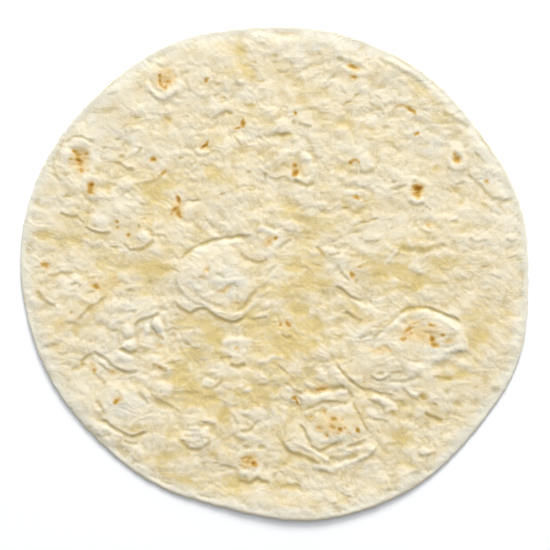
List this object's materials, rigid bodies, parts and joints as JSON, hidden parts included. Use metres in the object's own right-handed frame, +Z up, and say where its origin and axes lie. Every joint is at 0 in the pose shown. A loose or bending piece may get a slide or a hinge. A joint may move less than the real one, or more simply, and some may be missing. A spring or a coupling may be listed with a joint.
{
  "type": "flour tortilla wrap",
  "caption": "Thin round of baked flour dough lying flat, with an uneven soft edge, puffed pillows and small toasted blisters on its upper face, to fill and roll.",
  "frame": {"origin": "on the table, under the middle of the outline's bounding box", "axes": "+Z up out of the blistered face, +Y towards the top of the picture and +X to its right"},
  "size_m": [0.253, 0.2464, 0.0036],
  "materials": {
    "dough": "matte"
  },
  "bodies": {
    "root": {"tortilla": "dough"}
  },
  "joints": []
}
